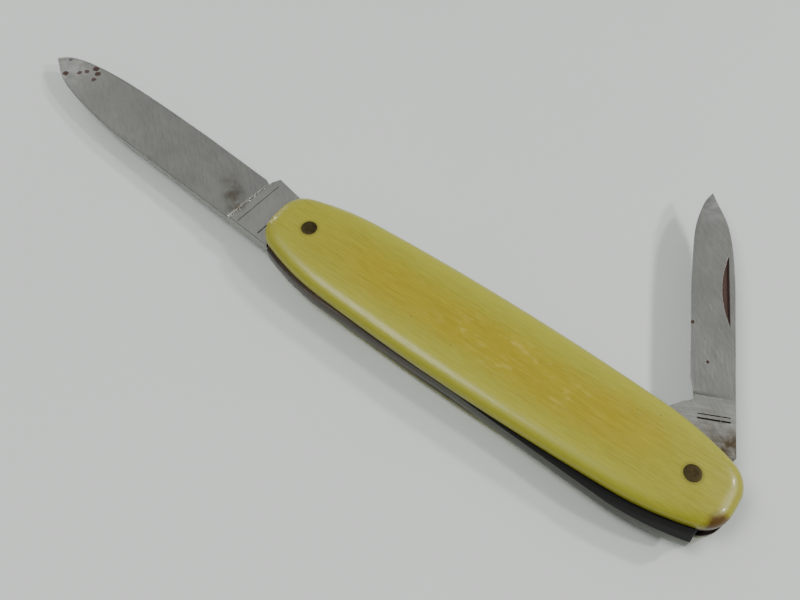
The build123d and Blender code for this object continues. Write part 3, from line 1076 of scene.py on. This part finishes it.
class PenBlade(Blade):
    """The short blade, flat ground, in the upper half of the slot."""

    shoulder = -6.35
    plunge = 12.4
    plunge_length = 0.9
    full_depth_u = LEDGE_U + 2
    marks = [9.1, 9.2, 9.3, 11.2, 11.5, 12.4, 15.0]
    spine_v, edge_v = -6.8, -0.55
    nick_u, nick_side = 29.9, (4.0, 4.2)
    rust = [((24.0, -0.75, 0), 0.4, 1.0), ((17.8, -2.8, 0), 0.35, 1.0), ((12.9, -0.8, 0), 0.4, 0.8)]
    smudges = [((4.9, -5.7, 0), 1.0, 4.0, 1.1), ((7.6, -3.4, 0), 0.5, 4.2, 0.5)]
    tang_shine = 0.0
    worn_tip = (47.0, -4.0, 0)
    scores = [(8.9, 9.1, -5.6, -1.4), (9.6, 9.7, -5.6, -1.4)]

    def __init__(self):
        length = PEN_LENGTH
        closed, rear, ledge = tang_limits(PEN_FLAT, 0.0)
        belly = [
            (length, -3.73), (length - 1.5, -2.73), (length - 3.7, -1.88),
            (length - 6.3, -1.23), (length - 12, -0.75), (length - 17, -0.55),
        ]
        spine = [
            (length - 17, -6.8), (length - 9.2, -6.45), (length - 5, -5.65),
            (length - 1.7, -4.33), (length, -3.73),
        ]
        edge = [
            (-TANG_REACH, closed), PEN_KICK, (11.2, 0.45), (11.5, -0.55), (12.4, -1.1),
            (15.0, -0.55),
        ]
        back = [(-TANG_REACH, rear), (LEDGE_U, ledge)]
        super().__init__(PEN_PIVOT.xy.to_3d(), PEN_ANGLE, 1, belly, edge, back, spine)

    def underside(self, u):
        """Height that clears the long blade when both are folded."""
        return main_thickness(2 * PEN_PIVOT.x - u) + BLADE_GAP

    def tang_body(self, u):
        """The tang's two heights: full depth by the pivot, its lower face raised beyond."""
        floor = self.underside(max(u, self.plunge)) if u > self.full_depth_u else 0.0
        return floor, TANG_THICKNESS

    def body(self, u, v):
        """The two ground faces' heights."""
        low, high = self.underside(u), TANG_THICKNESS
        thin = self.thinning(v, high - low)
        return low + thin, high - thin


def cutter_object(name, vertices, faces):
    """A closed cutter from vertices in millimetres, its faces outward."""
    mesh = mesh_of(name, vertices, faces)
    work = bmesh.new()
    work.from_mesh(mesh)
    bmesh.ops.recalc_face_normals(work, faces=work.faces)
    work.to_mesh(mesh)
    work.free()
    cutter = bpy.data.objects.new(name, mesh)
    bpy.context.scene.collection.objects.link(cutter)
    return cutter


def prism_cutter(name, outline, low, high):
    """A cutter between two heights from a lower and an upper outline of equal length."""
    lower, upper = outline
    count = len(lower)
    vertices = [(x, y, low) for x, y in lower] + [(x, y, high) for x, y in upper]
    faces = [tuple(range(count))[::-1], tuple(range(count, 2 * count))]
    for i in range(count):
        j = (i + 1) % count
        faces.append((i, j, count + j, count + i))
    return cutter_object(name, vertices, faces)


# The boss is the round, full-depth part of the short blade's tang. The cutter clears a
# ring round it, out to BOSS_CLEAR_U along the blade or BOSS_CLEAR_REACH from the pivot.
BOSS_RADIUS = 4.834
BOSS_CLEAR_U = 8.3
BOSS_CLEAR_REACH = 13.0
BOSS_CLEAR_TURN = 1.5
CUTTER_SPARE = 0.1
CUTTER_OVERLAP = 0.004
NICK_STEPS = 32
MAIN_NICK_DEPTH = 0.3
PEN_NICK_DEPTH = 0.36


def nick_outline(blade, length, width):
    """A nail nick's crescent on a blade: a straight wall by the spine and an arc."""
    base = blade.spine_v + NICK_FROM_SPINE
    outline = []
    for i in range(NICK_STEPS + 1):
        share = 2 * i / NICK_STEPS - 1
        u = blade.nick_u + share * length / 2
        outline.append(blade.world(u, base + width * (1 - share**2), 0)[:2])
    return outline


def nick_cutter(blade, floor, open_height):
    """A nail nick, deepest at its wall by the spine, from its floor up out of the face."""
    deep = nick_outline(blade, 0.88 * NICK_LENGTH, 0.3 * NICK_WIDTH)
    wide = nick_outline(blade, NICK_LENGTH, 1.2 * NICK_WIDTH)
    if floor < open_height:
        return prism_cutter("nick", (deep, wide), floor, open_height)
    return prism_cutter("nick", (wide, deep), open_height, floor)


def boss_cutter(blade):
    """Clears the short blade's underside all round its boss, up to its ricasso."""
    low = -1.0
    high = blade.underside(blade.plunge) + CUTTER_OVERLAP
    rings = []
    for turn in np.linspace(-BOSS_CLEAR_TURN, BOSS_CLEAR_TURN, 90):
        far = min(BOSS_CLEAR_U / max(cos(turn), 0.01), BOSS_CLEAR_REACH)
        reaches = ((BOSS_RADIUS, low), (far, low), (far, high), (BOSS_RADIUS, high))
        rings.append([blade.world(r * cos(turn), r * sin(turn), z) for r, z in reaches])
    faces = skin(rings) + [(3, 2, 1, 0)]
    last = 4 * len(rings)
    faces.append((last - 4, last - 3, last - 2, last - 1))
    return cutter_object("boss", points_of(rings), faces)


def make_blade(blade, name, cutters, material):
    """A blade with its pivot hole and nail nick, in place of its CAD node."""
    mesh = blade.mesh(name)
    finish_mesh(mesh, SHARP_BLADE_EDGE)
    low, high = TANG_FLOOR - HOLE_SPARE, TANG_CEILING + HOLE_SPARE
    mesh = cut(mesh, [pin_cutter(blade.pivot, low, high, PIVOT_HOLE_RADIUS)] + cutters)
    finish_mesh(mesh, SHARP_BLADE_EDGE)
    return dress(name + "_ground", mesh, name, material, (name,))


def make_blades():
    """The long blade with its nick below, and the short one with its nick above."""
    main = MainBlade()
    main_nick = nick_cutter(main, TANG_FLOOR + MAIN_NICK_DEPTH, TANG_FLOOR - CUTTER_SPARE)
    make_blade(main, "main_blade", [main_nick], steel("long_blade_steel", main))
    pen = PenBlade()
    pen_nick = nick_cutter(pen, TANG_CEILING - PEN_NICK_DEPTH, TANG_CEILING + CUTTER_SPARE)
    pen_cutters = [pen_nick, boss_cutter(pen)]
    make_blade(pen, "pen_blade", pen_cutters, steel("short_blade_steel", pen))


make_blades()


# ---- pins ----
HEAD_DEPTH = 0.55
HEAD_DOME = 0.06
HEAD_DENT = 0.03
DENT_SCALE = 1100.0
DOME_POWER = 4.0


def rivet_tree():
    """An empty tree with a rivet's named inputs."""
    tree = bpy.data.node_groups.new("rivet", "GeometryNodeTree")
    sizes = ("Head Radius", "Head Depth", "Dome", "Dent", "Shank Radius", "Length")
    kinds = {name: "NodeSocketFloat" for name in sizes}
    kinds.update({
        "Centre": "NodeSocketVector", "Seed": "NodeSocketFloat", "Material": "NodeSocketMaterial"
    })
    for name, kind in kinds.items():
        tree.interface.new_socket(name, in_out="INPUT", socket_type=kind)
    tree.interface.new_socket("Geometry", in_out="OUTPUT", socket_type="NodeSocketGeometry")
    return tree


def tree_node(tree, kind, settings=None, inputs=None):
    """A geometry node with its settings, then its values or links."""
    node = tree.nodes.new(kind)
    for name, value in (settings or {}).items():
        setattr(node, name, value)
    for key, value in (inputs or {}).items():
        if isinstance(value, bpy.types.NodeSocket):
            tree.links.new(value, node.inputs[key])
        else:
            node.inputs[key].default_value = value
    return node


def tree_math(tree, operation, first, second):
    """One sum in a tree, as a socket."""
    inputs = {0: first, 1: second}
    return tree_node(tree, "ShaderNodeMath", {"operation": operation}, inputs).outputs[0]


def rivet_head(tree, given):
    """A disc with its upper face domed and slightly dented by a seeded noise."""
    disc = tree_node(
        tree,
        "GeometryNodeMeshCylinder",
        {"fill_type": "TRIANGLE_FAN"},
        {"Vertices": 72, "Side Segments": 2, "Fill Segments": 14,
         "Radius": given["Head Radius"], "Depth": given["Head Depth"]},
    )
    place = tree_node(tree, "GeometryNodeInputPosition").outputs[0]
    parts = tree_node(tree, "ShaderNodeSeparateXYZ", None, {0: place}).outputs
    flat = tree_node(tree, "ShaderNodeCombineXYZ", None, {0: parts[0], 1: parts[1]}).outputs[0]
    reach = tree_node(tree, "ShaderNodeVectorMath", {"operation": "LENGTH"}, {0: flat}).outputs[1]
    share = tree_math(tree, "DIVIDE", reach, given["Head Radius"])
    fall = tree_math(tree, "POWER", share, DOME_POWER)
    domed = tree_math(tree, "MULTIPLY", fall, given["Dome"])
    noise = tree_node(
        tree,
        "ShaderNodeTexNoise",
        {"noise_dimensions": "4D"},
        {"Vector": place, "W": given["Seed"], "Scale": DENT_SCALE, "Detail": 1.0},
    ).outputs[0]
    dent = tree_math(tree, "MULTIPLY", noise, given["Dent"])
    down = tree_math(tree, "MULTIPLY", tree_math(tree, "ADD", domed, dent), -1.0)
    offset = tree_node(tree, "ShaderNodeCombineXYZ", None, {2: down}).outputs[0]
    upper = tree_math(tree, "GREATER_THAN", parts[2], 0.0)
    moved = tree_node(
        tree,
        "GeometryNodeSetPosition",
        None,
        {"Geometry": disc.outputs[0], "Selection": upper, "Offset": offset},
    )
    return moved.outputs[0]


def rivet_heads(tree, given, span):
    """A head at each end of an upright line of a length, the lower one turned over."""
    half = tree_math(tree, "DIVIDE", span, 2.0)
    down = tree_math(tree, "MULTIPLY", half, -1.0)
    low = tree_node(tree, "ShaderNodeCombineXYZ", None, {2: down})
    rise = tree_node(tree, "ShaderNodeCombineXYZ", None, {2: span})
    ends = tree_node(
        tree,
        "GeometryNodeMeshLine",
        {"mode": "OFFSET"},
        {"Count": 2, "Start Location": low.outputs[0], "Offset": rise.outputs[0]},
    )
    index = tree_node(tree, "GeometryNodeInputIndex").outputs[0]
    turned = tree_math(tree, "MULTIPLY", tree_math(tree, "SUBTRACT", 1.0, index), pi)
    turn = tree_node(tree, "ShaderNodeCombineXYZ", None, {0: turned}).outputs[0]
    return tree_node(
        tree,
        "GeometryNodeInstanceOnPoints",
        None,
        {"Points": ends.outputs[0], "Instance": rivet_head(tree, given), "Rotation": turn},
    )


def wire_rivet(tree):
    """The heads and the shank between them, moved to their place, in their metal."""
    given = tree_node(tree, "NodeGroupInput").outputs
    span = tree_math(tree, "SUBTRACT", given["Length"], given["Head Depth"])
    heads = rivet_heads(tree, given, span)
    shank = tree_node(
        tree,
        "GeometryNodeMeshCylinder",
        None,
        {"Vertices": 64, "Radius": given["Shank Radius"], "Depth": span},
    )
    joined = tree_node(tree, "GeometryNodeJoinGeometry")
    tree.links.new(heads.outputs[0], joined.inputs[0])
    tree.links.new(shank.outputs[0], joined.inputs[0])
    plain = tree_node(tree, "GeometryNodeRealizeInstances", None, {0: joined.outputs[0]})
    placed = tree_node(
        tree,
        "GeometryNodeTransform",
        None,
        {"Geometry": plain.outputs[0], "Translation": given["Centre"]},
    )
    dressed = tree_node(
        tree,
        "GeometryNodeSetMaterial",
        None,
        {"Geometry": placed.outputs[0], "Material": given["Material"]},
    )
    out = tree_node(tree, "NodeGroupOutput")
    tree.links.new(dressed.outputs[0], out.inputs[0])


def make_rivet(tree, name, values, material):
    """A rivet from the tree as a plain mesh, in place of its CAD node."""
    carrier = bpy.data.objects.new("carrier", bpy.data.meshes.new("carrier"))
    bpy.context.scene.collection.objects.link(carrier)
    modifier = carrier.modifiers.new("rivet", "NODES")
    modifier.node_group = tree
    sockets = {s.name: s.identifier for s in tree.interface.items_tree if s.in_out == "INPUT"}
    for key, value in {**values, "Material": material}.items():
        modifier[sockets[key]] = value
    mesh = evaluated_mesh(carrier)
    finish_mesh(mesh, radians(30))
    return dress(name + "_rivet", mesh, "handle", material, (name,))


def rivet_sizes(centre, seed):
    """A pivot rivet's inputs, in metres."""
    sizes = {
        "Head Radius": PIN_HEAD_RADIUS - 0.01,
        "Head Depth": HEAD_DEPTH,
        "Dome": HEAD_DOME,
        "Dent": HEAD_DENT,
        "Shank Radius": SHANK_RADIUS,
        "Length": PIN_LENGTH,
    }
    sizes = {name: size * MM for name, size in sizes.items()}
    return {**sizes, "Centre": metres(centre), "Seed": seed}


def make_pins():
    """The two pivot rivets, and the hidden spring pin in the same brass."""
    tones = ((96, 84, 46), (118, 104, 60), (74, 62, 34))
    pin_brass = tarnished_brass("pin_brass", tones, (34, 28, 14), on_flats=False)
    rivet = rivet_tree()
    wire_rivet(rivet)
    make_rivet(rivet, "main_pivot_pin", rivet_sizes(MAIN_PIVOT, 3.7), pin_brass)
    make_rivet(rivet, "pen_pivot_pin", rivet_sizes(PEN_PIVOT, 14.7), pin_brass)
    refinish("spring_pin", pin_brass)


make_pins()


# ---- stage ----
FLOOR_SIDE = 2400


def make_floor():
    """A wide pale sheet at the height of the rest face."""
    half = FLOOR_SIDE / 2
    corners = [(-half, -half, 0), (half, -half, 0), (half, half, 0), (-half, half, 0)]
    mesh = mesh_of("floor", corners, [(0, 1, 2, 3)])
    mesh.materials.append(paper())
    floor = bpy.data.objects.new("floor", mesh)
    bpy.context.scene.collection.objects.link(floor)


def add_softbox(name, azimuth, elevation, distance, side, power):
    """A square area light that faces the knife from an azimuth and elevation."""
    turn, rise = radians(azimuth), radians(elevation)
    way = Vector((cos(turn) * cos(rise), sin(turn) * cos(rise), sin(rise)))
    data = bpy.data.lights.new(name, "AREA")
    data.shape = "SQUARE"
    data.size = side * MM
    data.energy = power
    light = bpy.data.objects.new(name, data)
    light.location = metres(way * distance)
    light.rotation_euler = way.to_track_quat("Z", "Y").to_euler()
    bpy.context.scene.collection.objects.link(light)


def light_knife():
    """Two keys from the short blade's side, a low rim light and a wide one overhead."""
    add_softbox("key", 22, 40, 700, 60, 1.8)
    add_softbox("second_key", 52, 40, 700, 60, 1.8)
    add_softbox("low", 163, 14, 600, 40, 0.35)
    add_softbox("overhead", -140, 64, 750, 300, 3.3)


def light_world():
    """A cool studio, brightest high up on the slot's side."""
    world = bpy.data.worlds.new("studio")
    world.use_nodes = True
    nodes, links = world.node_tree.nodes, world.node_tree.links
    sky = nodes["Background"]
    sky.inputs["Color"].default_value = (0.94, 0.97, 1.0, 1)
    direction = nodes.new("ShaderNodeTexCoord")
    tilt = nodes.new("ShaderNodeVectorMath")
    tilt.operation = "DOT_PRODUCT"
    tilt.inputs[1].default_value = (-0.1, 0.7, 0.7)
    spread = nodes.new("ShaderNodeMapRange")
    levels = {"From Min": -0.5, "From Max": 1.0, "To Min": 0.1, "To Max": 0.54}
    for name, level in levels.items():
        spread.inputs[name].default_value = level
    links.new(direction.outputs["Generated"], tilt.inputs[0])
    links.new(tilt.outputs["Value"], spread.inputs["Value"])
    links.new(spread.outputs["Result"], sky.inputs["Strength"])
    bpy.context.scene.world = world


make_floor()
light_knife()
light_world()
